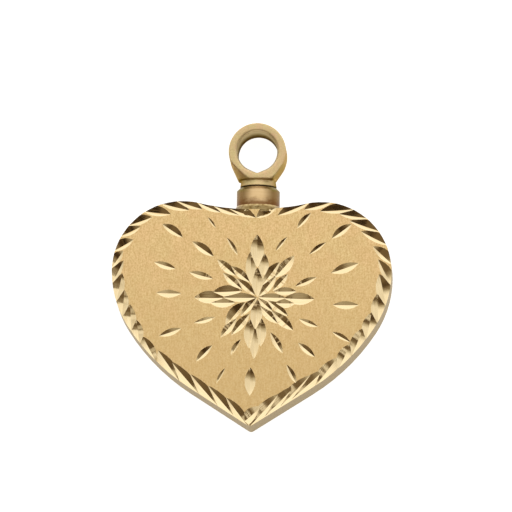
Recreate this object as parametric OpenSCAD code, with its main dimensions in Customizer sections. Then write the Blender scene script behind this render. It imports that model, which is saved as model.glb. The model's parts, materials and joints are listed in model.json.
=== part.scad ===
// Heart keepsake pendant: a hollow gold heart for a pinch of ash, closed by a screw bail.
// Millimetres. It lies on its flat back: +Z comes out of the cut face, +Y runs from tip to bail.

/* [Heart] */
// Width across the two lobes
heart_w = 25; // [21:0.5:32]
// Height from the tip to the tops of the lobes
heart_h = 20.25; // [17:0.25:27]
// Thickness from the back to the face
heart_t = 4; // [3.6:0.1:6]
// Thickness of the cut front plate
face_t = 0.8; // [0.7:0.05:1.2]
// Thickness of the back plate
back_t = 0.5; // [0.4:0.05:1]
// Thickness of the band that joins the two plates
band_t = 0.6; // [0.4:0.05:1.2]

/* [Neck] */
// How far the neck and the bail sit to the right of the heart's middle line
neck_x = 0.43; // [-0.6:0.01:0.6]
// Height of the neck above the floor of the cleft
neck_h = 2.17; // [1.6:0.01:4]
// How far the neck stays below the face and above the back
neck_inset = 0.075; // [0.05:0.025:0.25]
// Bevel round the top of the neck
neck_bevel = 0.28; // [0.1:0.02:0.4]
// Height that the solder climbs up the neck
solder_h = 0.5; // [0.2:0.05:0.9]
// Width of the solder at the foot of the neck
solder_w = 0.3; // [0.1:0.05:0.6]

/* [Screw] */
// Diameter over the thread
screw_d = 2.5; // [2.2:0.05:2.7]
// Thread pitch
thread_pitch = 0.45; // [0.35:0.05:0.6]
// Depth of the thread from crest to root
thread_depth = 0.26; // [0.15:0.01:0.3]
// Turns of thread
thread_turns = 5.5; // [3:0.5:7]
// Diameter of the plain shank under the shoulder
shank_d = 2.24; // [2.1:0.02:2.4]
// Length of the plain shank
shank_l = 0.9; // [0.5:0.1:1.6]
// Length of the plain end below the thread
plug_l = 0.6; // [0.3:0.1:1]
// Gap between the thread's crest and the bore of the neck
bore_gap = 0.05; // [0.03:0.01:0.09]
// Gap of the seam between the shoulder and the neck
seam_gap = 0.05; // [0.03:0.01:0.1]

/* [Bail] */
// Outer diameter of the ring
ring_d = 5.14; // [4.8:0.02:6.5]
// Diameter of the hole for the chain
hole_d = 3.56; // [3:0.02:4]
// Depth of the ring from front to back
ring_t = 3.6; // [2.6:0.1:5]
// How deep the round of the ring dips into the shoulder
ring_dip = 0.09; // [0.02:0.01:0.25]
// Height of the shoulder above the seam
shoulder_h = 0.6; // [0.4:0.01:0.9]
// How much the shoulder narrows on each side towards the ring
shoulder_taper = 0.1; // [0.04:0.02:0.3]
// Width of the ring's foot, where its sides run straight down to the shoulder
foot_w = 3.14; // [2.8:0.02:3.6]
// How far the ring's foot stands out over the shoulder, to the front and the back
foot_flare = 0.28; // [0.1:0.02:0.4]
// Slope at which the ring's foot is turned down towards the shoulder, in degrees
foot_slope = 54; // [35:1:65]
// How much further out the foot is turned on its right than on its left
foot_spread = 0.35; // [0:0.05:0.6]
// How far the foot's straight sides lean to the left of the ring's middle
foot_shift = 0.13; // [-0.2:0.01:0.2]
// How far the ring is soldered to the left of the neck's axis
ring_shift = 0.08; // [-0.15:0.01:0.15]

/* [Cuts] */
// Slope of the two sides of each cut, in degrees
cut_slope = 24; // [16:1:36]
// Reach of the longest arm of the star
star_reach = 5.8; // [4:0.1:6.5]
// How far the star sits to the right of the heart's middle line
star_x = 0.56; // [-0.6:0.01:0.6]

/* [Hidden] */
$fn = 96;
eps = 0.01;

// Outline of one half of the heart on a unit half width, with its zero at the star's height.
// The valley meets the lobe, the lobe the flank, the flank the hip, and the hip a straight side.
lobe_r = 0.504;
lobe_y = 0.192;
valley_drop = 0.056;
flank_r = 0.72;
flank_turn = 33;
hip_r = 1.48;
side_slope = 32.5;
tip_r = 0.03;

lobe_x = 1 - lobe_r;
valley_turn = 2 * atan(valley_drop / lobe_x);
valley_r = lobe_x / sin(valley_turn) - lobe_r;
valley_y = lobe_y + lobe_r - valley_drop;
flank_end = [1 - flank_r + flank_r * cos(flank_turn), lobe_y - flank_r * sin(flank_turn)];
hip_mid = flank_end + hip_r * [-cos(flank_turn), sin(flank_turn)];
hip_end = hip_mid + hip_r * [sin(side_slope), -cos(side_slope)];
side_foot = hip_end[1] - hip_end[0] * tan(side_slope);
tip_mid = side_foot + tip_r / cos(side_slope);

// Points on an arc of radius r about c, from angle a to angle b
function arc(c, r, a, b, steps, first = 0) =
    [for (i = [first:steps]) let (t = a + (b - a) * i / steps) c + r * [cos(t), sin(t)]];

unit_curves = concat(
    arc([0, valley_y + valley_r], valley_r, -90, valley_turn - 90, 6),
    arc([lobe_x, lobe_y], lobe_r, 90 + valley_turn, 0, 20, 1),
    arc([1 - flank_r, lobe_y], flank_r, 0, -flank_turn, 7, 1),
    arc(hip_mid, hip_r, -flank_turn, side_slope - 90, 7, 1));
unit_tip = arc([0, tip_mid], tip_r, side_slope - 90, -90, 3);

// The unit outline stretched to the heart's real width and height, and both halves joined
x_unit = heart_w / 2;
y_unit = heart_h / (lobe_y + lobe_r + tip_r - tip_mid);
function stretched(path) = [for (p = path) [p[0] * x_unit, p[1] * y_unit]];
function both_halves(path) = concat(path, [for (i = [len(path) - 2:-1:1]) [-path[i][0], path[i][1]]]);
half_edge = stretched(concat(unit_curves, unit_tip));
half_n = len(half_edge);
sharp_edge = both_halves(stretched(concat(unit_curves, [[0, side_foot]])));

// A closed outline moved inwards by one distance, square to its sides
function outward(p, q) = [p[1] - q[1], q[0] - p[0]] / norm(q - p);
function inset(path, gap) = [for (i = [0:len(path) - 1])
    let (n = len(path), p = path[i], before = outward(path[(i + n - 1) % n], p),
         after = outward(p, path[(i + 1) % n]))
    p - (before + after) * gap / (1 + before * after)];

// Length along the half outline up to each of its points, and the place at a share of it.
// A share below zero lies past the cleft, and one above 1 past the tip, on the other half.
function run_to(i) = i == 0 ? 0 : run_to(i - 1) + norm(half_edge[i] - half_edge[i - 1]);
runs = [for (i = [0:half_n - 1]) run_to(i)];
half_run = runs[half_n - 1];
function step_of(run, i = 1) = (i == half_n - 1 || runs[i] >= run) ? i : step_of(run, i + 1);
function along(share) = (share > 1 ? 2 - share : abs(share)) * half_run;
function faced(share, p) = [share < 0 || share > 1 ? -p[0] : p[0], p[1]];
function edge_at(share) = let (run = along(share), i = step_of(run), p = half_edge[i - 1])
    faced(share, p + (half_edge[i] - p) * (run - runs[i - 1]) / (runs[i] - runs[i - 1]));
function inward_at(share) = let (i = step_of(along(share)))
    faced(share, -outward(half_edge[i - 1], half_edge[i]));

// Heights along Y, and the middle of the whole pendant, which goes to the origin
cleft_y = valley_y * y_unit;
neck_top = cleft_y + neck_h;
seat_y = neck_top + seam_gap;
foot_y = seat_y + shoulder_h;
ring_y = foot_y + ring_d / 2 - ring_dip;
tip_y = (tip_mid - tip_r) * y_unit;
middle_y = (ring_y + ring_d / 2 + tip_y) / 2;

neck_r = heart_t / 2 - neck_inset;
neck_root = 0.15;
bore_r = screw_d / 2 + bore_gap;
thread_l = thread_turns * thread_pitch;
screw_l = shank_l + thread_l + plug_l;
screw_room = 0.4;
shoulder_r = neck_r - neck_bevel;
root_r = screw_d / 2 - thread_depth;

// A V cut made by a thin wheel: straight along X when seen from above, pointed at both ends,
// deepest in the middle. Its two sides slope by cut_slope on average.
cut_parts = 8;
cut_lift = 0.05;
module v_cut(long, left, right) {
    deep = (left + right) / 2 * tan(cut_slope);
    wheel = (long * long / 4 + deep * deep) / (2 * deep);
    reach = sqrt(wheel * wheel - (wheel - deep - cut_lift) ^ 2);
    xs = [for (i = [0:cut_parts]) reach * (2 * i / cut_parts - 1)];
    depths = [for (x = xs) sqrt(wheel * wheel - x * x) - (wheel - deep)];
    inner = cut_parts - 1;
    floor_pts = [for (i = [0:cut_parts]) [xs[i], 0, -depths[i]]];
    left_pts = [for (i = [1:inner]) [xs[i], (depths[i] + cut_lift) * left / deep, cut_lift]];
    right_pts = [for (i = [1:inner]) [xs[i], -(depths[i] + cut_lift) * right / deep, cut_lift]];
    at_left = cut_parts;
    at_right = cut_parts + inner;
    polyhedron(
        points = concat(floor_pts, left_pts, right_pts),
        faces = concat(
            [[0, 1, at_left + 1], [inner, cut_parts, at_left + inner]],
            [[1, 0, at_right + 1], [cut_parts, inner, at_right + inner]],
            [for (i = [1:inner - 1]) [i, i + 1, at_left + i + 1, at_left + i]],
            [for (i = [1:inner - 1]) [i + 1, i, at_right + i, at_right + i + 1]],
            [concat([0], [for (i = [1:inner]) at_left + i], [cut_parts],
                    [for (i = [inner:-1:1]) at_right + i])]));
}

// The same cut between two places on the face
module cut_between(p, q, left, right) {
    middle = (p + q) / 2;
    translate([middle[0], middle[1], heart_t]) rotate(atan2(q[1] - p[1], q[0] - p[0]))
        v_cut(norm(q - p), left, right);
}

// Rows of the star's table and of the single cuts: middle across and up, length, heading in
// degrees, and the widths of the left and right sides as shares of the length
function cut_middle(row, unit) = [row[0] * unit[0], row[1] * unit[1]];
function cut_long(row, unit) = row[2] * unit[0];
function cut_heading(row) = row[3];
function cut_left(row) = row[4];
function cut_right(row) = row[5];

module laid_cut(row, origin, unit) {
    middle = origin + cut_middle(row, unit);
    long = cut_long(row, unit);
    translate([middle[0], middle[1], heart_t]) rotate(cut_heading(row))
        v_cut(long, cut_left(row) * long, cut_right(row) * long);
}

// Arms of the star, from the top clockwise. Each has an inner cut, two side cuts and an outer one,
// placed round the star's middle in shares of star_reach.
star_arms = [
    [[-0.005, 0.248, 0.463, 91, 0.193, 0.193], [-0.107, 0.466, 0.512, 93, 0.162, 0.15],
     [0.089, 0.495, 0.41, 87, 0.187, 0.195], [-0.012, 0.735, 0.521, 91, 0.207, 0.207]],
    [[0.152, 0.187, 0.437, 51, 0.158, 0.158], [0.201, 0.382, 0.458, 54, 0.2, 0.151],
     [0.347, 0.245, 0.355, 49, 0.173, 0.173], [0.409, 0.494, 0.465, 49, 0.165, 0.208]],
    [[0.22, 0.011, 0.423, -1, 0.156, 0.163], [0.422, 0.107, 0.354, 1, 0.187, 0.182],
     [0.425, -0.076, 0.323, 0, 0.209, 0.238], [0.643, -0.004, 0.47, -1, 0.203, 0.213]],
    [[0.125, -0.104, 0.313, -42, 0.167, 0.196], [0.305, -0.147, 0.438, -38, 0.148, 0.141],
     [0.177, -0.257, 0.403, -44, 0.153, 0.183], [0.388, -0.347, 0.459, -42, 0.177, 0.177]],
    [[-0.014, -0.255, 0.472, -94, 0.196, 0.196], [0.062, -0.533, 0.444, -91, 0.18, 0.18],
     [-0.115, -0.557, 0.46, -91, 0.184, 0.191], [-0.039, -0.706, 0.5, -91, 0.144, 0.141]],
    [[-0.132, -0.135, 0.397, -130, 0.143, 0.182], [-0.257, -0.41, 0.45, -130, 0.15, 0.157],
     [-0.335, -0.242, 0.473, -130, 0.114, 0.227], [-0.439, -0.469, 0.385, -130, 0.172, 0.176]],
    [[-0.269, 0.005, 0.523, 180, 0.135, 0.147], [-0.54, -0.073, 0.405, 180, 0.198, 0.171],
     [-0.463, 0.1, 0.467, -177, 0.165, 0.211], [-0.742, 0.001, 0.469, 180, 0.197, 0.229]],
    [[-0.182, 0.174, 0.396, 138, 0.144, 0.179], [-0.386, 0.261, 0.399, 139, 0.173, 0.154],
     [-0.268, 0.37, 0.391, 140, 0.146, 0.177], [-0.482, 0.472, 0.388, 139, 0.178, 0.174]]];

module arm_cuts(arm) {
    for (row = arm) laid_cut(row, [star_x, 0], [star_reach, star_reach]);
}

// The arms are cut one after another into what the module is given
module starred(arms) {
    if (arms == 0) children();
    else difference() {
        starred(arms - 1) children();
        arm_cuts(star_arms[arms - 1]);
    }
}

// Single cuts round the star, placed on the unit heart
single_cuts = [
    [-0.57, 0.48, 0.18, -33, 0.21, 0.13], [-0.35, 0.35, 0.19, -35, 0.19, 0.14],
    [-0.62, 0.23, 0.165, -17, 0.15, 0.16], [-0.36, 0.16, 0.18, -15, 0.15, 0.15],
    [-0.59, 0.03, 0.18, -1, 0.14, 0.18], [-0.29, 0.54, 0.1, -53, 0.13, 0.08],
    [-0.14, 0.37, 0.15, -58, 0.13, 0.09], [0.37, 0.56, 0.15, 49, 0.17, 0.11],
    [0.21, 0.39, 0.13, 52, 0.13, 0.08], [0.64, 0.485, 0.18, 37, 0.19, 0.14],
    [0.47, 0.36, 0.15, 37, 0.14, 0.09], [0.665, 0.22, 0.21, 20, 0.16, 0.17],
    [0.39, 0.12, 0.17, 24, 0.14, 0.13], [0.675, -0.045, 0.185, 0, 0.15, 0.17],
    [-0.33, -0.16, 0.16, 16, 0.11, 0.14], [-0.575, -0.25, 0.17, 20, 0.15, 0.15],
    [-0.33, -0.4, 0.165, 46, 0.19, 0.12], [-0.105, -0.355, 0.135, 59, 0.18, 0.08],
    [-0.21, -0.56, 0.125, 61, 0.13, 0.07], [0, -0.6, 0.205, 89, 0.19, 0.19],
    [0.185, -0.32, 0.175, -59, 0.16, 0.15], [0.4, -0.37, 0.16, -40, 0.16, 0.15],
    [0.41, -0.175, 0.15, -22, 0.13, 0.15], [0.645, -0.275, 0.15, -29, 0.15, 0.1],
    [0.295, -0.545, 0.16, -62, 0.15, 0.12]];

module scattered_cuts() {
    for (row = single_cuts) laid_cut(row, [0, 0], [x_unit, y_unit]);
}

// Slanting cuts of the border, from the cleft down each side to the tip, which the last one on the
// right passes. Each one starts inside the edge and runs out over it: share of the side at which it
// meets the edge, share of the side that it runs along, and distance inside the edge at which it
// starts, on the unit heart. Its outer side is wide and shallow and its inner side narrow, and both
// are wider on the lower cuts.
function rim_meets(row) = row[0];
function rim_starts(row) = row[0] - row[1];
function rim_inside(row) = row[2] * x_unit;
rim_overrun = 0.12;
rim_low = 0.5;
function rim_outer(row) = (rim_meets(row) < rim_low ? 0.05 : 0.072) * x_unit;
function rim_inner(row, side) = (rim_meets(row) < rim_low ? 0.025 : side > 0 ? 0.05 : 0.04) * x_unit;
right_rim = [
    [0.056, 0.047, 0.064], [0.138, 0.077, 0.054], [0.196, 0.07, 0.041], [0.255, 0.085, 0.068],
    [0.295, 0.07, 0.069], [0.34, 0.077, 0.086], [0.378, 0.07, 0.098], [0.428, 0.06, 0.092],
    [0.482, 0.07, 0.087], [0.535, 0.078, 0.086], [0.582, 0.072, 0.077], [0.632, 0.064, 0.072],
    [0.688, 0.072, 0.063], [0.732, 0.062, 0.064], [0.807, 0.088, 0.061], [0.892, 0.132, 0.055],
    [0.919, 0.117, 0.083], [0.962, 0.115, 0.077], [0.998, 0.103, 0.089], [1.018, 0.068, 0.079]];
left_rim = [
    [0.064, 0.073, 0.062], [0.1, 0.071, 0.049], [0.137, 0.06, 0.041], [0.189, 0.066, 0.041],
    [0.227, 0.07, 0.065], [0.274, 0.063, 0.088], [0.327, 0.06, 0.06], [0.36, 0.052, 0.068],
    [0.4, 0.048, 0.088], [0.443, 0.048, 0.057], [0.483, 0.06, 0.078], [0.53, 0.07, 0.075],
    [0.571, 0.064, 0.078], [0.615, 0.064, 0.087], [0.65, 0.05, 0.076], [0.71, 0.066, 0.044],
    [0.79, 0.092, 0.063], [0.85, 0.108, 0.071], [0.907, 0.103, 0.083], [0.958, 0.1, 0.085],
    [0.994, 0.082, 0.084]];

module rim_cuts(rows, side) {
    for (row = rows) {
        from = edge_at(rim_starts(row)) + inward_at(rim_starts(row)) * rim_inside(row);
        over = edge_at(rim_meets(row));
        past = over + (over - from) * rim_overrun;
        outer = rim_outer(row);
        inner = rim_inner(row, side);
        widths = side > 0 ? [outer, inner] : [inner, outer];
        cut_between([side * from[0], from[1]], [side * past[0], past[1]], widths[0], widths[1]);
    }
}

// Turned profile round the neck's axis, which runs along Y
module round_neck_axis(y) {
    translate([neck_x, y, heart_t / 2]) rotate([-90, 0, 0]) rotate_extrude() children();
}

module cut_heart() {
    difference() {
        starred(len(star_arms)) difference() {
            linear_extrude(heart_t) polygon(both_halves(half_edge));
            translate([0, 0, back_t]) linear_extrude(heart_t - face_t - back_t)
                polygon(inset(sharp_edge, band_t));
        }
        scattered_cuts();
        rim_cuts(right_rim, 1);
        rim_cuts(left_rim, -1);
    }
}

module neck() {
    foot = neck_h + neck_root;
    round_neck_axis(cleft_y - neck_root)
        polygon([[0, 0], [neck_r, 0], [neck_r, foot - neck_bevel], [neck_r - neck_bevel, foot], [0, foot]]);
}

// Solder climbs the neck and is filed flush with the face and the back
module solder() {
    intersection() {
        round_neck_axis(cleft_y - neck_root)
            polygon([[0, 0], [neck_r + solder_w, 0], [neck_r + solder_w, neck_root],
                     [neck_r, neck_root + solder_h], [0, neck_root + solder_h]]);
        translate([neck_x - heart_t, cleft_y - neck_root - eps, neck_inset / 2])
            cube([2 * heart_t, solder_h + 2 * neck_root, heart_t - neck_inset]);
    }
}

module heart_case() {
    color("goldenrod") translate([0, -middle_y, 0]) difference() {
        union() {
            cut_heart();
            neck();
            solder();
        }
        round_neck_axis(seat_y - screw_l - screw_room)
            polygon([[0, 0], [bore_r, 0], [bore_r, screw_l + screw_room + 1], [0, screw_l + screw_room + 1]]);
    }
}

// Ring seen from the front: a circle that narrows to its foot along two straight sides. Each side
// leaves the circle at the angle whose tangent reaches the corner of the foot.
left_corner = [-foot_w / 2 - foot_shift, foot_y - ring_y];
right_corner = [foot_w / 2 - foot_shift, foot_y - ring_y];
function side_turn(corner) = acos(ring_d / 2 / norm(corner));
left_meet = 360 + atan2(left_corner[1], left_corner[0]) - side_turn(left_corner);
right_meet = atan2(right_corner[1], right_corner[0]) + side_turn(right_corner);
ring_outline = concat(
    [left_corner, right_corner], arc([0, 0], ring_d / 2, right_meet, left_meet, 44));

module ring() {
    hole_run = ring_t + 2;
    turned_h = 2 * ring_d;
    foot_r = shoulder_r + foot_flare;
    intersection() {
        translate([neck_x - ring_shift, ring_y, (heart_t - ring_t) / 2]) difference() {
            linear_extrude(ring_t) polygon(ring_outline);
            translate([0, 0, -1]) cylinder(d = hole_d, h = hole_run);
        }
        for (aside = [0, foot_spread]) translate([aside, 0, 0]) round_neck_axis(foot_y)
            polygon([[0, 0], [foot_r, 0], [foot_r + turned_h / tan(foot_slope), turned_h], [0, turned_h]]);
    }
}

// Turned shoulder, whose top laps into the ring's foot
module shoulder() {
    foot_lap = 0.2;
    top_r = shoulder_r - shoulder_taper;
    round_neck_axis(seat_y)
        polygon([[0, 0], [shoulder_r, 0], [top_r, shoulder_h], [top_r, shoulder_h + foot_lap],
                 [0, shoulder_h + foot_lap]]);
}

// Thread as a rod whose radius winds up and down, 24 sides round and six steps to a turn.
// Its two ends lap into the shank and the plain end.
thread_sides = 24;
thread_steps = 6;
thread_fade = 0.5;
thread_lap = 0.08;
thread_rings = round(thread_turns * thread_steps);
function wave(turns) = let (t = turns - floor(turns)) 1 - abs(2 * t - 1);
function ends(turns) = min(1, turns / thread_fade, (thread_turns - turns) / thread_fade);
function thread_r(angle, turns) =
    root_r + thread_depth * min(1, 1.25 * wave(turns - angle / 360)) * max(0, ends(turns));
function ring_z(k) = k * thread_pitch / thread_steps
    + (k == 0 ? -thread_lap : k == thread_rings ? thread_lap : 0);
module thread_rod() {
    rings = [for (k = [0:thread_rings]) [for (i = [0:thread_sides - 1])
        let (angle = i * 360 / thread_sides, r = thread_r(angle, k / thread_steps))
        [r * cos(angle), r * sin(angle), ring_z(k)]]];
    points = [for (ring = rings, p = ring) p];
    n = thread_sides;
    last = thread_rings * n;
    faces = concat(
        [[for (i = [0:n - 1]) i]],
        [[for (i = [n - 1:-1:0]) last + i]],
        [for (k = [0:thread_rings - 1], i = [0:n - 1])
            [k * n + (i + 1) % n, k * n + i, (k + 1) * n + (i + 1) % n]],
        [for (k = [0:thread_rings - 1], i = [0:n - 1])
            [(k + 1) * n + (i + 1) % n, k * n + i, (k + 1) * n + i]]);
    polyhedron(points = points, faces = faces);
}

module screw() {
    plug_r = screw_d / 2 - thread_depth / 4;
    plug_bevel = 0.15;
    round_neck_axis(seat_y - screw_l)
        polygon([[0, 0], [plug_r - plug_bevel, 0], [plug_r, plug_bevel], [plug_r, plug_l], [0, plug_l]]);
    translate([neck_x, seat_y - screw_l + plug_l, heart_t / 2]) rotate([-90, 0, 0]) thread_rod();
    shank_top = shank_l + shoulder_h / 2;
    round_neck_axis(seat_y - shank_l)
        polygon([[0, 0], [shank_d / 2, 0], [shank_d / 2, shank_top], [0, shank_top]]);
}

module screw_bail() {
    color("darkkhaki") translate([0, -middle_y, 0]) union() {
        ring();
        shoulder();
        screw();
    }
}

heart_case();
screw_bail();
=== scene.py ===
# %% [markdown]
# A hollow gold heart, dressed for its picture
#
# The pendant is a small vessel. A heart of 14 carat gold holds a pinch of ash, and the bail that
# hangs it on a chain is also its stopper, screwed into a neck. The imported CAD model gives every
# size and place. This lesson gives each surface the finish that its maker gave it: brushed,
# diamond cut, tumbled, turned, soldered or sandblasted.

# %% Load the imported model
import json
import math

import bmesh
import bpy
from mathutils import Matrix, Vector


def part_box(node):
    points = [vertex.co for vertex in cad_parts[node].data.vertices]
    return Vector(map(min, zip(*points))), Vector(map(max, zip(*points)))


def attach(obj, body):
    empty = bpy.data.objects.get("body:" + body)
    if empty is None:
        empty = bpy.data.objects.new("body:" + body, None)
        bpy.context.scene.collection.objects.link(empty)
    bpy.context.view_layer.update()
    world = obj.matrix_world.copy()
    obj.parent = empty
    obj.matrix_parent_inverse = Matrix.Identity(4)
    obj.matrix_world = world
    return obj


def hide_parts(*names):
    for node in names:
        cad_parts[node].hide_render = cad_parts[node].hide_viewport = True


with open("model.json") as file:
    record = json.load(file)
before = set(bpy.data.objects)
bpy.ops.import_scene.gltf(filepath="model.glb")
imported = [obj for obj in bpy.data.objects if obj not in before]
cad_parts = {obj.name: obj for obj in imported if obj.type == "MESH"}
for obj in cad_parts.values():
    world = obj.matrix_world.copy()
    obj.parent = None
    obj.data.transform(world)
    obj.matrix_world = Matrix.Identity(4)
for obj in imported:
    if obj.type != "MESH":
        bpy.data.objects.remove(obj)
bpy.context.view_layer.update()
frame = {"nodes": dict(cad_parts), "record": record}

MM = 0.001

# %% [markdown]
# Places that everything else follows
#
# The pieces are measured from the frame, so that they stay on the metal when a size changes. The
# heart's box gives its thickness, its tip and the top of its neck, the bail's box gives the ends of
# the bail, and the hole for the chain is a mount in the record. The rest is measured from those.

# %% Read the places off the frame
heart_low, heart_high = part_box("heart_case")
bail_low, bail_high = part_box("screw_bail")
chain_hole = next(m for m in frame["record"]["mounts"] if m["name"] == "chain_bore")

HEART_T = heart_high.z
AXIS_Z = HEART_T / 2
STAR_X, STAR_UP = 0.56 * MM, 11.505 * MM
STAR = Vector((STAR_X, heart_low.y + STAR_UP, HEART_T))

RING = Vector(chain_hole["pos_m"])
HOLE_R = chain_hole["dims"]["r_mm"] * MM

# The ring sits a little to the left of the neck's axis, and the seam below its shoulder stays open
RING_SHIFT, SEAM = 0.08 * MM, 0.05 * MM
NECK_X = RING.x + RING_SHIFT
NECK_TOP = heart_high.y
NECK_H = 2.17 * MM
CLEFT_Y = NECK_TOP - NECK_H
NECK_INSET = 0.075 * MM
NECK_R = AXIS_Z - NECK_INSET
SEAT_Y = NECK_TOP + SEAM
SHOULDER_H = 0.6 * MM
print("thickness", round(HEART_T / MM, 3), "mm, neck radius", round(NECK_R / MM, 3), "mm")

# %% [markdown]
# The camera
#
# Small jewels are photographed from far away with a long lens, which keeps their shape free of
# perspective. The pendant was laid nearly square to it: the lens looks down from 9.6 degrees off
# the upright, towards the tip and a little to the right, and the piece lies 0.8 degrees askew.
# The heart's middle at the height of the star was found at one pixel of the picture, and a pixel
# there spans 0.0892 mm. Those two facts fix the aim and the lens.

# %% Turn the camera
TILT, SWING, ROLL = math.radians(9.6), math.radians(14), math.radians(0.8)

toward = Vector((math.sin(TILT) * math.sin(SWING), -math.sin(TILT) * math.cos(SWING), math.cos(TILT)))
level_up = (Vector((0, 1, 0)) - toward * toward.y).normalized()
level_right = level_up.cross(toward)
right = level_right * math.cos(ROLL) + level_up * math.sin(ROLL)
up = level_up * math.cos(ROLL) - level_right * math.sin(ROLL)
print("the lens looks from", [round(v, 3) for v in toward])

# %% Place the camera
FRAME_PX = 512
PIXEL = 0.0892 * MM
HEART_MIDDLE_PX = Vector((251.2, 298.0))
DISTANCE = 0.9
SENSOR = 36.0

heart_middle = Vector((0, STAR.y, HEART_T))
shift = Vector((FRAME_PX / 2, FRAME_PX / 2)) - HEART_MIDDLE_PX
aim = heart_middle + (right * shift.x - up * shift.y) * PIXEL

lens_data = bpy.data.cameras.new("long_lens")
lens_data.sensor_width = SENSOR
lens_data.lens = SENSOR * DISTANCE / (FRAME_PX * PIXEL)
lens_data.clip_start, lens_data.clip_end = 0.01, 10
camera = bpy.data.objects.new("long_lens", lens_data)
turn = Matrix((right, up, toward)).transposed().to_4x4()
camera.matrix_world = Matrix.Translation(aim + toward * DISTANCE) @ turn
bpy.context.scene.collection.objects.link(camera)
bpy.context.scene.camera = camera
bpy.context.scene.view_settings.view_transform = "Standard"
print("lens", round(lens_data.lens), "mm at", DISTANCE, "m")

# %% [markdown]
# Adding a node
#
# Every material and the sky are made of nodes. One helper adds a node, sets what it is told to,
# links what is already an output, and hands back the output that is asked for. A number or a
# colour goes straight onto the node's own socket. Sockets that share a name go by their number.

# %% One helper for nodes, one for colour
TIMES, PLUS, MINUS = {"operation": "MULTIPLY"}, {"operation": "ADD"}, {"operation": "SUBTRACT"}
TIMES_PLUS, UNSIGNED = {"operation": "MULTIPLY_ADD"}, {"operation": "ABSOLUTE"}
LENGTH, DISTANCE_TO = {"operation": "LENGTH"}, {"operation": "DISTANCE"}
SOFT = {"interpolation_type": "SMOOTHSTEP"}
# A Mix node of colours hands its mixture out as output 2
COLOURS, MIXED = {"data_type": "RGBA"}, 2


def add(tree, kind, settings=None, out=0, **sockets):
    node = tree.nodes.new("ShaderNode" + kind)
    for name, value in (settings or {}).items():
        setattr(node, name, value)
    for name, value in sockets.items():
        socket = node.inputs[int(name[1:]) if name[0] == "_" else name.replace("_", " ")]
        if isinstance(value, bpy.types.NodeSocket):
            tree.links.new(value, socket)
        else:
            socket.default_value = value
    return node.outputs[out] if node.outputs else node


def linear(code):
    """An sRGB hex colour such as E1C087 as linear red, green, blue and alpha."""
    parts = [int(code[i:i + 2], 16) / 255 for i in (0, 2, 4)]
    return [c / 12.92 if c <= 0.04045 else ((c + 0.055) / 1.055) ** 2.4 for c in parts] + [1]


print("F0DBAF is", [round(c, 3) for c in linear("F0DBAF")])

# %% [markdown]
# Studio light
#
# Polished metal shows only what it mirrors, so the studio around it matters more than the lamps.
# The facets that slope towards the bail mirror a bright wall just above the table behind it, and
# those that slope towards the tip mirror the dark front of the room. The flat face mirrors the
# even ceiling. Lamps and boards could be built for this. A sky with these zones gives all of it
# with no noise, and each thing in the room is one row of a table.

# %% Helpers for the sky
world = bpy.data.worlds.new("studio")
bpy.context.scene.world = world
world.use_nodes = True
sky = world.node_tree
sky.nodes.clear()
looking = add(sky, "TexCoord", out="Generated")
split = add(sky, "SeparateXYZ", Vector=looking).node
OVAL_RIM = 1.35, 0.65


def level(value, stops, low=-1.0, high=1.0):
    """Follows a value through stops, each a place and a brightness or a colour."""
    share = add(sky, "MapRange", Value=value, From_Min=low, From_Max=high)
    colour = add(sky, "ValToRGB", Fac=share)
    marks = colour.node.color_ramp.elements
    while len(marks) < len(stops):
        marks.new(0.5)
    for mark, (place, light) in zip(marks, stops):
        mark.position = (place - low) / (high - low)
        mark.color = (*light, 1) if isinstance(light, tuple) else (light, light, light, 1)
    return colour


def oval(x, y, half_x, half_y):
    """1 inside an oval patch of the sky, seen in plan from above, with a soft rim."""
    off = add(sky, "Mapping", Vector=looking, Location=(-x / half_x, -y / half_y, 0),
              Scale=(1 / half_x, 1 / half_y, 0))
    reach = add(sky, "VectorMath", LENGTH, "Value", _0=off)
    return add(sky, "MapRange", SOFT, Value=reach, From_Min=OVAL_RIM[0], From_Max=OVAL_RIM[1])


# %% List what is in the room
FRONT_TO_BACK = [(-1.0, 0.18), (-0.27, 0.18), (-0.14, 0.4), (-0.05, 0.9), (0.05, 1.25), (0.6, 1.3),
                 (1.0, 1.3)]
# How far the light begins behind the middle, from the left of the room to the right
LIGHT_BEGINS = [(-1.0, 0.15), (-0.5, 0.08), (0.0, 0.0), (0.5, 0.02), (1.0, 0.06)]
SIDE_TO_SIDE = [(-1.0, 0.45), (-0.86, 0.8), (-0.78, 0.75), (-0.68, 0.95), (-0.5, 1.0), (0.5, 1.0),
                (0.7, 0.74), (0.86, 0.85), (1.0, 0.45)]
# Place across and to the back, half sizes across and to the back, and brightness
THINGS = {
    "floor in front": (-0.02, -0.92, 0.62, 0.17, 0.85),
    "paper on the floor": (-0.03, -0.67, 0.44, 0.09, 0.44),
    "whiter paper": (0.2, -0.79, 0.3, 0.09, 0.75),
    "camera": (0.03, -0.46, 0.3, 0.05, 0.02),
    "arm of the camera": (0.33, -0.37, 0.14, 0.11, 0.06),
    "doorway on the left": (-0.7, -0.24, 0.13, 0.12, 0.09),
    "chair on the right": (0.55, -0.07, 0.09, 0.1, 0.28),
    "window on the right": (0.9, 0.0, 0.07, 0.25, 1.0),
    "white box in front of it": (0.72, -0.37, 0.05, 0.09, 0.9),
    "white box farther in front": (0.63, -0.51, 0.08, 0.08, 0.9),
    "grey box on the left": (-0.88, -0.25, 0.05, 0.12, 0.65),
    "window on the left": (-0.9, 0.02, 0.05, 0.12, 1.0)}
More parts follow.
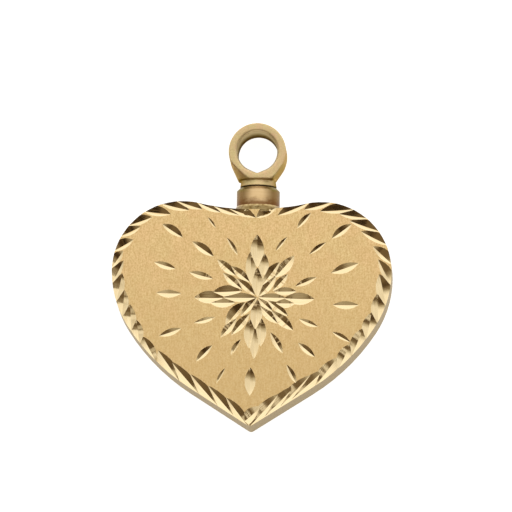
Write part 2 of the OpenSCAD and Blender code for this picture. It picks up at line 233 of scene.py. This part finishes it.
# What is dim in a room is also brown, from wood and skin, and what is bright is the white of lamps
DIM_TO_BRIGHT = [(0.0, (0.0, 0.0, 0.0)), (0.05, (0.05, 0.028, 0.012)), (0.18, (0.18, 0.13, 0.075)),
                 (0.5, (0.5, 0.45, 0.36)), (1.0, (1.0, 0.98, 0.95)), (1.4, (1.4, 1.4, 1.4))]
BRIGHTEST = 1.4
print("things in the room", len(THINGS))

# %% Paint the room into the sky
depth = add(sky, "Math", MINUS, _0=split.outputs["Y"], _1=level(split.outputs["X"], LIGHT_BEGINS))
room = add(sky, "Mix", {**COLOURS, "blend_type": "MULTIPLY"}, MIXED, Factor=1.0,
           _6=level(depth, FRONT_TO_BACK), _7=level(split.outputs["X"], SIDE_TO_SIDE))
for x, y, half_x, half_y, bright in THINGS.values():
    room = add(sky, "Mix", COLOURS, MIXED, Factor=oval(x, y, half_x, half_y),
               _6=room, _7=(bright, bright, bright, 1))
room = level(room, DIM_TO_BRIGHT, 0.0, BRIGHTEST)
add(sky, "OutputWorld", Surface=add(sky, "Background", Color=room, Strength=1.0))
print("sky nodes", len(sky.nodes))

# %% [markdown]
# The table
#
# A pale matte sheet under the pendant. It is lit from below as well, as on a light table, which
# takes the shadow away and leaves the ground white. It is part of the studio and not of the jewel,
# so it is only staged.

# %% Lay the table
TABLE_W = 3
PAPER, PAPER_GLOW = "A6A5A2", 0.95


def deselect():
    bpy.ops.object.select_all(action="DESELECT")


deselect()
bpy.ops.mesh.primitive_plane_add(size=TABLE_W)
table = bpy.context.object
table.name = "table"
paper = bpy.data.materials.new("matte_paper")
paper.use_nodes = True
paper_shader = paper.node_tree.nodes["Principled BSDF"]
paper_shader.inputs["Base Color"].default_value = linear(PAPER)
paper_shader.inputs["Roughness"].default_value = 0.9
paper_shader.inputs["Specular IOR Level"].default_value = 0.1
paper_shader.inputs["Emission Color"].default_value = linear("FFFFFF")
paper_shader.inputs["Emission Strength"].default_value = PAPER_GLOW
table.data.materials.append(paper)
print("table", TABLE_W, "m across")

# %% [markdown]
# Gold, finished six ways
#
# All of it is the same 14 carat yellow gold. What differs is how each surface was worked, and that
# is what the eye tells apart. Each material below starts from a metal with its roughness, lays thin
# coats of colour over a ground, and adds the marks of its tool. They have their real spacing or,
# where that is finer than a pixel, are as coarse as it takes for them to show. Object coordinates
# are in metres, so a pattern's scale is one over its spacing in metres.

# %% A gold base, a pattern, and coats of colour
# The middle of a random pattern, stretched to run from 0 to 1
STRETCHED = {"From_Min": 0.35, "From_Max": 0.65}


def gold(name, roughness):
    material = bpy.data.materials.new(name)
    material.use_nodes = True
    tree = material.node_tree
    shader = tree.nodes["Principled BSDF"]
    shader.inputs["Metallic"].default_value = 1.0
    shader.inputs["Roughness"].default_value = roughness
    return material, tree, shader, add(tree, "TexCoord", out="Object")


def pattern(tree, place, spacing_mm, detail=2.0, unit=MM):
    """A random pattern with so many millimetres from grain to grain along X, Y and Z."""
    near = add(tree, "Mapping", Vector=place, Scale=[1 / (s * unit) for s in spacing_mm])
    return add(tree, "TexNoise", Vector=near, Scale=1.0, Detail=detail)


def coated(tree, ground, coats):
    """A ground colour under thin coats. Each coat has its place, its strength and its colour."""
    tone = linear(ground)
    for where, strength, colour in coats:
        share = add(tree, "Math", TIMES, _0=where, _1=strength)
        colour = linear(colour) if isinstance(colour, str) else colour
        tone = add(tree, "Mix", COLOURS, MIXED, Factor=share, _6=tone, _7=colour)
    return tone


def surfaced(tree, shader, tone, height, depth_mm):
    """Gives a material its colour, and marks that are so many millimetres deep."""
    marks = add(tree, "Bump", Height=height, Distance=depth_mm * MM, Strength=1.0)
    tree.links.new(tone, shader.inputs["Base Color"])
    tree.links.new(marks, shader.inputs["Normal"])
    print(len(tree.nodes), "nodes, marks", depth_mm, "mm deep")


# %% [markdown]
# Brushed satin
#
# The face was rubbed with a fine belt from the bail down to the tip. Real strokes are finer than a
# pixel, so they are drawn a tenth of a millimetre wide. They give the eye a soft sheen without a
# mirror. The lower face is painted a shade darker, a painted shade for the light that falls off
# towards the tip.

# %% Brushed satin face
LOWER_SHADE_FROM, LOWER_SHADE_TO = 7 * MM, -14 * MM
GRAINY = {"From_Min": 0.4, "From_Max": 0.72}
SHINIEST, DULLEST = 0.34, 0.42
satin, tree, shader, place = gold("gold_brushed_satin", 0.38)
strokes = pattern(tree, place, (0.1, 1.2, 0.1))
grain = pattern(tree, place, (0.13, 0.16, 0.13), 3.0)
cloud = pattern(tree, place, (1.6, 1.9, 1.6))
down_face = add(tree, "SeparateXYZ", out="Y", Vector=place)
tone = coated(tree, "E6CA92", [
    (add(tree, "MapRange", Value=cloud, **STRETCHED), 1.0, "EAC792"),
    # Painted shade: the face is painted darker towards the tip
    (add(tree, "MapRange", SOFT, Value=down_face, From_Min=LOWER_SHADE_FROM, From_Max=LOWER_SHADE_TO), 1.0, "D6B984"),
    (add(tree, "MapRange", Value=grain, **GRAINY), 1.0, "CBA96F"),
    (add(tree, "MapRange", Value=strokes, **STRETCHED), 0.3, "CDAA70")])
sheen = add(tree, "MapRange", Value=strokes, To_Min=SHINIEST, To_Max=DULLEST, **STRETCHED)
tree.links.new(sheen, shader.inputs["Roughness"])
surfaced(tree, shader, tone, add(tree, "Math", PLUS, _0=strokes, _1=grain), 0.005)

# %% [markdown]
# Diamond cut
#
# A spinning diamond leaves a mirror with faint drag lines along the cut. Here and there the wheel
# shook and left a few rough steps across it, which the eye sees as pale bands. It shook only on the
# slanting arms of the star, because the slides of the machine run straight along the heart and
# straight across it. The marks follow the wheel, so they are drawn in coordinates along each cut,
# which are laid on the mesh further down.

# %% Diamond cut facets
STAR_REACH = 6.2 * MM
# Across times up of a facet's normal, which is near 0 on a straight cut
STRAIGHT, SLANTED = 0.05, 0.075
POLISHED, SHAKEN = 0.1, 0.6
# How much of a random pattern is in bands, and how much of a step is high enough to look rough
BANDED, RAISED = {"From_Min": 0.44, "From_Max": 0.56}, {"From_Min": 0.38, "From_Max": 0.52}
STEP_OVER_DRAG = 5.0
# The coordinates along a cut are in millimetres already
RUN_UNIT = 1.0
cut_gold, tree, shader, place = gold("gold_diamond_cut", POLISHED)
run = add(tree, "UVMap", {"uv_map": "tool_run"})
steps = pattern(tree, run, (0.16, 6, 1), 1.0, RUN_UNIT)
drag = pattern(tree, run, (4, 0.07, 1), 1.0, RUN_UNIT)
bands = add(tree, "MapRange", Value=pattern(tree, run, (0.8, 3, 1), 1.0, RUN_UNIT), **BANDED)
facing = add(tree, "SeparateXYZ", Vector=add(tree, "TexCoord", out="Normal")).node
slant = add(tree, "Math", TIMES, _0=facing.outputs["X"], _1=facing.outputs["Y"])
aslant = add(tree, "MapRange", SOFT, Value=add(tree, "Math", UNSIGNED, _0=slant),
             From_Min=STRAIGHT, From_Max=SLANTED)
from_star = add(tree, "VectorMath", DISTANCE_TO, "Value", _0=place, _1=STAR)
on_star = add(tree, "MapRange", SOFT, Value=from_star,
              From_Min=STAR_REACH, From_Max=0.9 * STAR_REACH)
for mask in (bands, aslant, on_star):
    steps = add(tree, "Math", TIMES, _0=steps, _1=mask)
rough = add(tree, "MapRange", Value=steps, To_Min=POLISHED, To_Max=SHAKEN, **RAISED)
tree.links.new(rough, shader.inputs["Roughness"])
tone = coated(tree, "F0DBAF", [(add(tree, "MapRange", Value=drag, **STRETCHED), 1.0, "E8D0A0")])
relief = add(tree, "Math", TIMES_PLUS, _0=steps, _1=STEP_OVER_DRAG, _2=drag)
surfaced(tree, shader, tone, relief, 0.004)

# %% [markdown]
# Tumbled
#
# The band and the back were tumbled with fine stones, which leaves an even, slightly grey matte
# skin. A fine speckle in colour and height is enough for it.

# %% Tumbled band and back
tumbled, tree, shader, place = gold("gold_tumbled_matte", 0.5)
speckle = pattern(tree, place, (0.2, 0.2, 0.2), 3.0)
tone = coated(tree, "A38D5D", [(add(tree, "MapRange", Value=speckle, **STRETCHED), 1.0, "957F52")])
surfaced(tree, shader, tone, speckle, 0.008)

# %% [markdown]
# Turned
#
# The lathe left fine rings round the neck. The torch that soldered it left a brown bloom above the
# joint. The sides of the neck are painted brown as painted shade, where the round neck turns away
# from the light, and olive towards their top. The rings are a pattern that is long round the neck
# and short along it, and a smoky pattern frays the edges of the bloom.

# %% Turned neck
BLOOM_TOP, BLOOM_FOOT, OLIVE_TOP, OLIVE_FOOT = 1.7 * MM, 1.05 * MM, 2.5 * MM, 2.0 * MM
SMOKE = 0.9 * MM
SIDE_FROM, SIDE_TO = 0.2 * NECK_R, 0.8 * NECK_R
turned_gold, tree, shader, place = gold("gold_turned", 0.42)
rings = pattern(tree, place, (3, 0.09, 3))
smoke = pattern(tree, place, (0.5, 0.35, 0.5), 3.0)
spot = add(tree, "SeparateXYZ", Vector=place).node
height = add(tree, "Math", TIMES_PLUS, _0=smoke, _1=SMOKE, _2=spot.outputs["Y"])
aside = add(tree, "Math", UNSIGNED, _0=add(tree, "Math", MINUS, _0=spot.outputs["X"], _1=NECK_X))
# Painted shade: the neck is painted darker away from its middle, where it turns from the light
sides = add(tree, "MapRange", SOFT, Value=aside, From_Min=SIDE_FROM, From_Max=SIDE_TO)
bloom = add(tree, "MapRange", SOFT, Value=height,
            From_Min=CLEFT_Y + BLOOM_TOP, From_Max=CLEFT_Y + BLOOM_FOOT)
high = add(tree, "MapRange", SOFT, Value=height,
           From_Min=CLEFT_Y + OLIVE_FOOT, From_Max=CLEFT_Y + OLIVE_TOP)
tone = coated(tree, "E6C796", [
    (add(tree, "MapRange", Value=rings, **STRETCHED), 1.0, "DCBB88"),
    # Painted shade on the sides of the neck, olive towards their top
    (sides, 0.9, "7C5E30"),
    (add(tree, "Math", TIMES, _0=sides, _1=high), 0.8, "85793A"),
    (bloom, 0.85, "784E26")])
surfaced(tree, shader, tone, rings, 0.002)

# %% [markdown]
# Solder
#
# Hard solder runs into a lumpy roll. Its crests are rubbed bright, and its hollows and its foot,
# down in the cleft, stay brown.

# %% Hard solder
LOW_SOLDER, HIGH_SOLDER = 0.25 * MM, 0.5 * MM
solder_gold, tree, shader, place = gold("gold_solder", 0.34)
lumps = pattern(tree, place, (0.35, 0.3, 0.35))
up_neck = add(tree, "SeparateXYZ", out="Y", Vector=place)
low = add(tree, "MapRange", SOFT, Value=up_neck,
          From_Min=CLEFT_Y + HIGH_SOLDER, From_Max=CLEFT_Y + LOW_SOLDER)
tone = coated(tree, "8F7040", [
    (add(tree, "MapRange", Value=lumps, **STRETCHED), 1.0, "DCC28D"),
    (low, 0.7, "6E5A30")])
surfaced(tree, shader, tone, lumps, 0.05)

# %% [markdown]
# Sandblasted
#
# The blast gives the bail a soft bright skin with greener and rosier clouds. It can't turn into the
# hole, whose wall is painted from straw at the front to olive brown at the back: painted light at
# its mouth and painted shade deeper in. The foot that faces down towards the heart and the
# shoulder's sides are painted olive as painted shade, and a thin band where the shoulder seats is
# painted dark. Each of these is one more coat of colour, laid by its place on the bail.

# %% Where the blast reached, where shade is painted, and the dark band at the seat
SHADE_FROM, SHADE_TO = 0.17 * MM, 0.08 * MM
WALL_FRONT, WALL_BACK = HEART_T - 0.5 * MM, 1.2 * MM
SEAT_BAND_FROM, SEAT_BAND_TO = 0.12 * MM, 0.04 * MM
SHOULDER_TOP, SHOULDER_FADE = SEAT_Y + SHOULDER_H, 0.1 * MM
FLANK_FROM, FLANK_TO = 0.35 * NECK_R, 0.85 * NECK_R
# How far a normal points down towards the heart, on the foot of the ring
DOWN_FROM, DOWN_TO = -0.3, -0.5
blasted, tree, shader, place = gold("gold_sandblasted", 0.48)
spot = add(tree, "SeparateXYZ", Vector=place).node
normal_y = add(tree, "SeparateXYZ", out="Y", Vector=add(tree, "TexCoord", out="Normal"))
from_hole = add(tree, "VectorMath", LENGTH, "Value",
                _0=add(tree, "Mapping", Vector=place, Location=(-RING.x, -RING.y, 0), Scale=(1, 1, 0)))
inside = add(tree, "MapRange", SOFT, Value=from_hole,
             From_Min=HOLE_R + SHADE_FROM, From_Max=HOLE_R + SHADE_TO)
# Painted light and shade in the hole: its wall is painted light at the front and dark deeper in
deep = add(tree, "MapRange", SOFT, Value=spot.outputs["Z"], From_Min=WALL_FRONT, From_Max=WALL_BACK)
# Painted shade: faces that point down towards the heart are painted olive
down_facing_shade = add(tree, "MapRange", SOFT, Value=normal_y, From_Min=DOWN_FROM, From_Max=DOWN_TO)
aside = add(tree, "Math", UNSIGNED, _0=add(tree, "Math", MINUS, _0=spot.outputs["X"], _1=NECK_X))
# Painted shade: the shoulder's sides, away from its middle, are painted olive
shoulder_side_shade = add(tree, "Math", TIMES,
                _0=add(tree, "MapRange", SOFT, Value=aside, From_Min=FLANK_FROM, From_Max=FLANK_TO),
                _1=add(tree, "MapRange", SOFT, Value=spot.outputs["Y"],
                       From_Min=SHOULDER_TOP + SHOULDER_FADE, From_Max=SHOULDER_TOP))
# A thin band either side of where the shoulder seats is painted dark
seat_dark_band = add(tree, "Math", TIMES,
            _0=add(tree, "MapRange", SOFT, Value=spot.outputs["Y"],
                   From_Min=SEAT_Y + SEAT_BAND_FROM, From_Max=SEAT_Y + SEAT_BAND_TO),
            _1=add(tree, "MapRange", SOFT, Value=spot.outputs["Y"],
                   From_Min=SEAT_Y - SEAT_BAND_FROM, From_Max=SEAT_Y - SEAT_BAND_TO))
print("masks", len(tree.nodes), "nodes")

# %% Sandblasted casting
grit = pattern(tree, place, (0.14, 0.14, 0.14), 3.0)
clouds = pattern(tree, place, (0.75, 0.75, 0.75), 3.0)
# The hole's wall colour: painted light at the front, painted shade towards the back
hole_wall_light_and_shade = coated(tree, "FFEFC8", [(deep, 1.0, "7A6636")])
tone = coated(tree, "DAC792", [
    (add(tree, "MapRange", Value=clouds, **STRETCHED), 1.0, "E1C196"),
    (add(tree, "MapRange", Value=grit, **STRETCHED), 0.35, "C2A872"),
    (down_facing_shade, 0.25, "94804A"),
    (shoulder_side_shade, 0.6, "84723F"),
    (inside, 0.95, hole_wall_light_and_shade),
    (seat_dark_band, 0.85, "3A2A12")])
# Blasting leaves only a weak shine at a glancing look, and in the hole that shine is painted darker
# still, as painted shade
glance = coated(tree, "A8905C", [(inside, 1.0, "6A5C3C")])
tree.links.new(glance, shader.inputs["Specular Tint"])
surfaced(tree, shader, tone, grit, 0.016)

# %% [markdown]
# The heart
#
# The CAD node already has every cut at its true depth, as loose triangles. It could be modelled
# again here, but a copy of it is exact. The copy is merged into one skin, its gentle curves are
# smoothed and its creases kept, and each face is then given the finish of the tool that reached it
# last.

# %% Copy and merge the heart
WELD = 0.0005 * MM
COPY_SMOOTH = math.radians(20)


def active(piece):
    deselect()
    piece.select_set(True)
    bpy.context.view_layer.objects.active = piece


def merged_copy(node_name, name):
    piece = bpy.data.objects.new(name, frame["nodes"][node_name].data.copy())
    bpy.context.scene.collection.objects.link(piece)
    piece.data.materials.clear()
    active(piece)
    bpy.ops.object.mode_set(mode="EDIT")
    bpy.ops.mesh.select_all(action="SELECT")
    bpy.ops.mesh.remove_doubles(threshold=WELD)
    bpy.ops.object.mode_set(mode="OBJECT")
    bpy.ops.mesh.customdata_custom_splitnormals_clear()
    bpy.ops.object.shade_smooth_by_angle(angle=COPY_SMOOTH)
    return piece


heart = merged_copy("heart_case", "heart_case_dressed")
print("heart", len(heart.data.vertices), "vertices", len(heart.data.polygons), "faces")

# %% Sort its faces by finish
FINISHES = satin, cut_gold, tumbled, turned_gold, solder_gold
SATIN, CUT, TUMBLED, TURNED, SOLDER = range(len(FINISHES))
for material in FINISHES:
    heart.data.materials.append(material)

NEARLY = 0.01 * MM
# How nearly upright the normal of the flat face is, and at least of a cut's side
FLAT, CUT_SIDE = 0.995, 0.3
CUT_DEPTH = 0.7 * MM
SOLDER_W, SOLDER_TOP, SOLDER_FLUSH, CLEFT_DIP = 0.3 * MM, 0.6 * MM, 0.0375 * MM, 0.1 * MM
# The roll of solder leans up the neck, between a wall and a flat top
WALL_LEAN, TOP_LEAN = 0.15, 0.9


def finish_of(face):
    middle, normal = face.center, face.normal
    off_axis = math.hypot(middle.x - NECK_X, middle.z - AXIS_Z)
    if middle.y > CLEFT_Y - CLEFT_DIP:
        filed_flush = abs(middle.z - HEART_T + SOLDER_FLUSH) < NEARLY
        if filed_flush or (off_axis < NECK_R + SOLDER_W and WALL_LEAN < normal.y < TOP_LEAN):
            return SOLDER if middle.y < CLEFT_Y + SOLDER_TOP else TURNED
        if off_axis < NECK_R + NEARLY:
            return TURNED
    if normal.z > FLAT and middle.z > HEART_T - NEARLY:
        return SATIN
    if normal.z > CUT_SIDE and middle.z > HEART_T - CUT_DEPTH:
        return CUT
    return TUMBLED


counts = [0] * len(FINISHES)
for face in heart.data.polygons:
    face.material_index = finish_of(face)
    counts[face.material_index] += 1
print("faces by finish", counts)

# %% [markdown]
# The way that the tool ran
#
# Tool marks follow the tool. Each side of a cut is one smooth patch of small faces, so a patch is
# found by spreading from face to face wherever the crease is slight. Its longest direction is the
# way that the wheel ran. Coordinates along and across that run, in millimetres, let the material
# draw its marks in the right direction on every cut.

# %% Find the patches and their runs
PATCH_CREASE = math.radians(13)


def patches(wanted):
    """Groups of wanted faces that join with hardly any crease, in the order of the faces."""
    left = set(wanted)
    for start in wanted:
        if start not in left:
            continue
        left.remove(start)
        group, rim = [], [start]
        while rim:
            face = rim.pop()
            group.append(face)
            for edge in face.edges:
                for other in edge.link_faces:
                    if other in left and other.normal.angle(face.normal) < PATCH_CREASE:
                        left.remove(other)
                        rim.append(other)
        yield group


def run_of(group):
    """Middle of a patch and its longest direction, seen from the front."""
    area = sum(face.calc_area() for face in group)
    middle = sum((face.calc_center_median() * face.calc_area() for face in group), Vector()) / area
    xx = xy = yy = 0.0
    for face in group:
        for vert in face.verts:
            x, y = vert.co.x - middle.x, vert.co.y - middle.y
            xx, xy, yy = xx + x * x, xy + x * y, yy + y * y
    angle = math.atan2(2 * xy, xx - yy) / 2
    return middle, Vector((math.cos(angle), math.sin(angle)))


solid = bmesh.new()
solid.from_mesh(heart.data)
run_map = solid.loops.layers.uv.new("tool_run")
cut_faces = [face for face in solid.faces if face.material_index == CUT]
runs = [(group, *run_of(group)) for group in patches(cut_faces)]
print("cut patches", len(runs), "of", len(cut_faces), "faces")

# %% Lay coordinates along each cut
# Each patch starts this much further along the pattern, so that no two have the same marks
NEXT_START = 7.3
for number, (group, middle, along) in enumerate(runs, 1):
    for face in group:
        for loop in face.loops:
            off = (loop.vert.co - middle).xy / MM
            loop[run_map].uv = (off.dot(along) + NEXT_START * number, along.cross(off))
print("the last patch starts at", round(NEXT_START * len(runs), 1), "mm")

# %% Keep the edges crisp where the tool changed or where two cuts meet
crisp = 0
for edge in solid.edges:
    if len(edge.link_faces) < 2:
        continue
    first, second = edge.link_faces[0], edge.link_faces[-1]
    changed = first.material_index != second.material_index
    if changed or (first.material_index == CUT and edge.calc_face_angle() > PATCH_CREASE):
        edge.smooth = False
        crisp += 1
solid.to_mesh(heart.data)
solid.free()

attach(heart, "heart")
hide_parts("heart_case")
print("crisp edges", crisp)

# %% [markdown]
# The ring and its shoulder
#
# The ring is a thick band that was cast, soldered to a turned shoulder, filed and then blasted
# with fine grit, which takes the sharpness off every edge. The CAD copy has the true shape with
# sharp edges. It could be bevelled edge by edge, but the joint of ring and shoulder has awkward
# corners. Rebuilding the skin from small cubes and smoothing it a few times wears all of the edges
# alike, just as the grit does. First the hole is filed to a soft point at its foot and reamed at
# both of its rims.

# %% File the foot of the hole to a soft point
POINT_DROP = 1.98 * MM
POINT_HALF_W, POINT_HALF_H = 0.97 * MM, 0.5 * MM


def apply_all(piece):
    bpy.ops.object.mode_set(mode="OBJECT")
    active(piece)
    bpy.ops.object.transform_apply(location=True, rotation=True, scale=True)


def cut_away(piece, tool):
    """Takes the shape of a tool out of a piece, and puts the tool away."""
    apply_all(tool)
    active(piece)
    cut = piece.modifiers.new("cut", "BOOLEAN")
    cut.operation = "DIFFERENCE"
    cut.object = tool
    bpy.ops.object.modifier_apply(modifier="cut")
    bpy.data.objects.remove(tool)


ring = merged_copy("screw_bail", "ring")
deselect()
bpy.ops.mesh.primitive_cylinder_add(vertices=4, radius=1, depth=2 * HEART_T,
                                    location=(RING.x, RING.y - POINT_DROP + POINT_HALF_H, AXIS_Z))
bpy.context.object.scale = (POINT_HALF_W, POINT_HALF_H, 1)
cut_away(ring, bpy.context.object)
print("ring and screw", len(ring.data.polygons), "faces")

# %% Ease the two rims of the hole
RIM_W, RIM_D = 0.14 * MM, 0.22 * MM
REAMER_SIDES = 96
for face_z, turned_over in ((bail_high.z, 0), (bail_low.z, math.pi)):
    deselect()
    bpy.ops.mesh.primitive_cone_add(vertices=REAMER_SIDES, radius1=HOLE_R, radius2=HOLE_R + 2 * RIM_W,
                                    depth=2 * RIM_D, location=(RING.x, RING.y, face_z),
                                    rotation=(turned_over, 0, 0))
    cut_away(ring, bpy.context.object)
print("rims eased", len(ring.data.polygons), "faces")

# %% Rebuild the skin from small cubes, and cut off the screw
GRIT_CUBE = 0.05 * MM


def picked(piece, test):
    """Selects, in edit mode, the vertices that pass a test."""
    mesh = bmesh.from_edit_mesh(piece.data)
    bpy.ops.mesh.select_mode(type="VERT")
    bpy.ops.mesh.select_all(action="DESELECT")
    for vert in mesh.verts:
        vert.select = test(vert)
    mesh.select_flush_mode()
    bmesh.update_edit_mesh(piece.data)


active(ring)
cubes = ring.modifiers.new("cubes", "REMESH")
cubes.mode = "VOXEL"
cubes.voxel_size = GRIT_CUBE
bpy.ops.object.modifier_apply(modifier="cubes")
bpy.ops.object.mode_set(mode="EDIT")
picked(ring, lambda v: v.co.y < SEAT_Y - 2 * GRIT_CUBE)
bpy.ops.mesh.delete(type="VERT")
print("skin of the ring", len(bmesh.from_edit_mesh(ring.data).faces), "faces")

# %% Wear its edges as the grit does
HOLE_PASSES, ALL_PASSES = 14, 8
HOLE_RIM = HOLE_R + 0.32 * MM
HALF_WAY = 0.5

picked(ring, lambda v: math.hypot(v.co.x - RING.x, v.co.y - RING.y) < HOLE_RIM)
bpy.ops.mesh.vertices_smooth(factor=HALF_WAY, repeat=HOLE_PASSES)
bpy.ops.mesh.select_all(action="SELECT")
bpy.ops.mesh.vertices_smooth(factor=HALF_WAY, repeat=ALL_PASSES)
bpy.ops.mesh.select_all(action="DESELECT")
bpy.ops.mesh.select_mode(type="EDGE")
bpy.ops.mesh.select_non_manifold()
bpy.ops.mesh.edge_face_add()
bpy.ops.object.mode_set(mode="OBJECT")
print("ring worn", len(ring.data.polygons), "faces")

# %% [markdown]
# The screw
#
# Everything below the shoulder was turned on a lathe: the plain shank, the core of the thread and
# the plain end. It could be spun from a profile. Growing it ring by ring is as quick, and shows how
# a lathe works: each step moves along the axis and changes the radius.

# %% Turn the screw's core
SCREW_END = bail_low.y
PLUG_L, PLUG_R = 0.6 * MM, 1.185 * MM
SHANK_L, SHANK_R = 0.9 * MM, 1.12 * MM
ROOT_R = 0.99 * MM
BEVEL = 0.15 * MM
CORE_LAP = 0.3 * MM
STEM_SIDES = 64


def lathe(name, steps):
    """A solid turned round the neck's axis. Each step is a height along Y and a radius."""
    deselect()
    first_y, first_r = steps[0]
    bpy.ops.mesh.primitive_circle_add(vertices=STEM_SIDES, radius=first_r, fill_type="NGON",
                                      location=(NECK_X, first_y, AXIS_Z), rotation=(math.pi / 2, 0, 0))
    piece = bpy.context.object
    piece.name = name
    apply_all(piece)
    bpy.ops.object.mode_set(mode="EDIT")
    bpy.ops.mesh.select_all(action="SELECT")
    for (y0, r0), (y1, r1) in zip(steps, steps[1:]):
        bpy.ops.mesh.extrude_region_move(TRANSFORM_OT_translate={"value": (0, y1 - y0, 0)})
        bpy.ops.transform.resize(value=(r1 / r0, 1, r1 / r0), center_override=(NECK_X, y1, AXIS_Z))
    bpy.ops.mesh.select_all(action="SELECT")
    bpy.ops.mesh.normals_make_consistent(inside=False)
    bpy.ops.object.mode_set(mode="OBJECT")
    return piece


stem = lathe("stem", [
    (SCREW_END, PLUG_R - BEVEL), (SCREW_END + BEVEL, PLUG_R), (SCREW_END + PLUG_L, PLUG_R),
    (SCREW_END + PLUG_L, ROOT_R), (SEAT_Y - SHANK_L, ROOT_R), (SEAT_Y - SHANK_L, SHANK_R),
    (SEAT_Y + CORE_LAP, SHANK_R)])
print("stem", len(stem.data.polygons), "faces")

# %% [markdown]
# The thread
#
# A thread is one tooth swept along a helix. It could be built ring by ring with sines and cosines.
# The Screw modifier is simpler: it turns a small closed profile round the axis and climbs by the
# pitch each turn. The tooth is rooted a hair inside the core so that the two read as one piece.

# %% Draw the tooth
CREST_R = 1.25 * MM
EMBED = 0.04 * MM
TOOTH_ROOT, TOOTH_CREST = 0.36 * MM, 0.1 * MM
RELIEF = 0.1 * MM
tooth_depth = CREST_R - ROOT_R + EMBED
thread_start = SCREW_END + PLUG_L + RELIEF

deselect()
bpy.ops.mesh.primitive_plane_add(size=1, location=(NECK_X, thread_start, AXIS_Z))
thread = bpy.context.object
thread.name = "thread"
bpy.ops.object.mode_set(mode="EDIT")
bpy.ops.mesh.select_all(action="SELECT")
bpy.ops.transform.resize(value=(tooth_depth, TOOTH_ROOT, 1),
                         center_override=(NECK_X, thread_start, AXIS_Z))
bpy.ops.transform.translate(value=(ROOT_R - EMBED + tooth_depth / 2, TOOTH_ROOT / 2, 0))
picked(thread, lambda v: v.co.x > ROOT_R)
bpy.ops.transform.resize(value=(1, TOOTH_CREST / TOOTH_ROOT, 1),
                         center_override=(NECK_X, thread_start + TOOTH_ROOT / 2, AXIS_Z))
bpy.ops.mesh.select_all(action="SELECT")
bpy.ops.mesh.delete(type="ONLY_FACE")
bpy.ops.object.mode_set(mode="OBJECT")
print("tooth", round(tooth_depth / MM, 2), "mm deep")

# %% Sweep it up the core
PITCH, TURNS, STEPS_A_TURN = 0.45 * MM, 5, 40

helix = thread.modifiers.new("helix", "SCREW")
helix.axis = "Y"
helix.angle = 2 * math.pi
helix.screw_offset = PITCH
helix.iterations = TURNS
helix.steps = helix.render_steps = STEPS_A_TURN
helix.use_merge_vertices = False
bpy.ops.object.modifier_apply(modifier="helix")
bpy.ops.object.mode_set(mode="EDIT")
bpy.ops.mesh.select_all(action="DESELECT")
bpy.ops.mesh.select_mode(type="EDGE")
bpy.ops.mesh.select_non_manifold()
bpy.ops.mesh.fill_holes(sides=4)
bpy.ops.mesh.select_all(action="SELECT")
bpy.ops.mesh.normals_make_consistent(inside=False)
apply_all(thread)
print("thread faces", len(thread.data.polygons))

# %% [markdown]
# The finished bail
#
# The ring, the stem and the thread are one piece of metal, so they are joined, and the whole bail
# was sandblasted at once.

# %% Join the bail
BAIL_SMOOTH = math.radians(30)

deselect()
for piece in (thread, stem, ring):
    piece.select_set(True)
bpy.context.view_layer.objects.active = ring
bpy.ops.object.join()
bail = ring
bail.name = "screw_bail_dressed"
bpy.ops.object.shade_smooth_by_angle(angle=BAIL_SMOOTH)
bail.data.materials.append(blasted)
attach(bail, "bail")
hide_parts("screw_bail")
print("bail", len(bail.data.polygons), "faces")
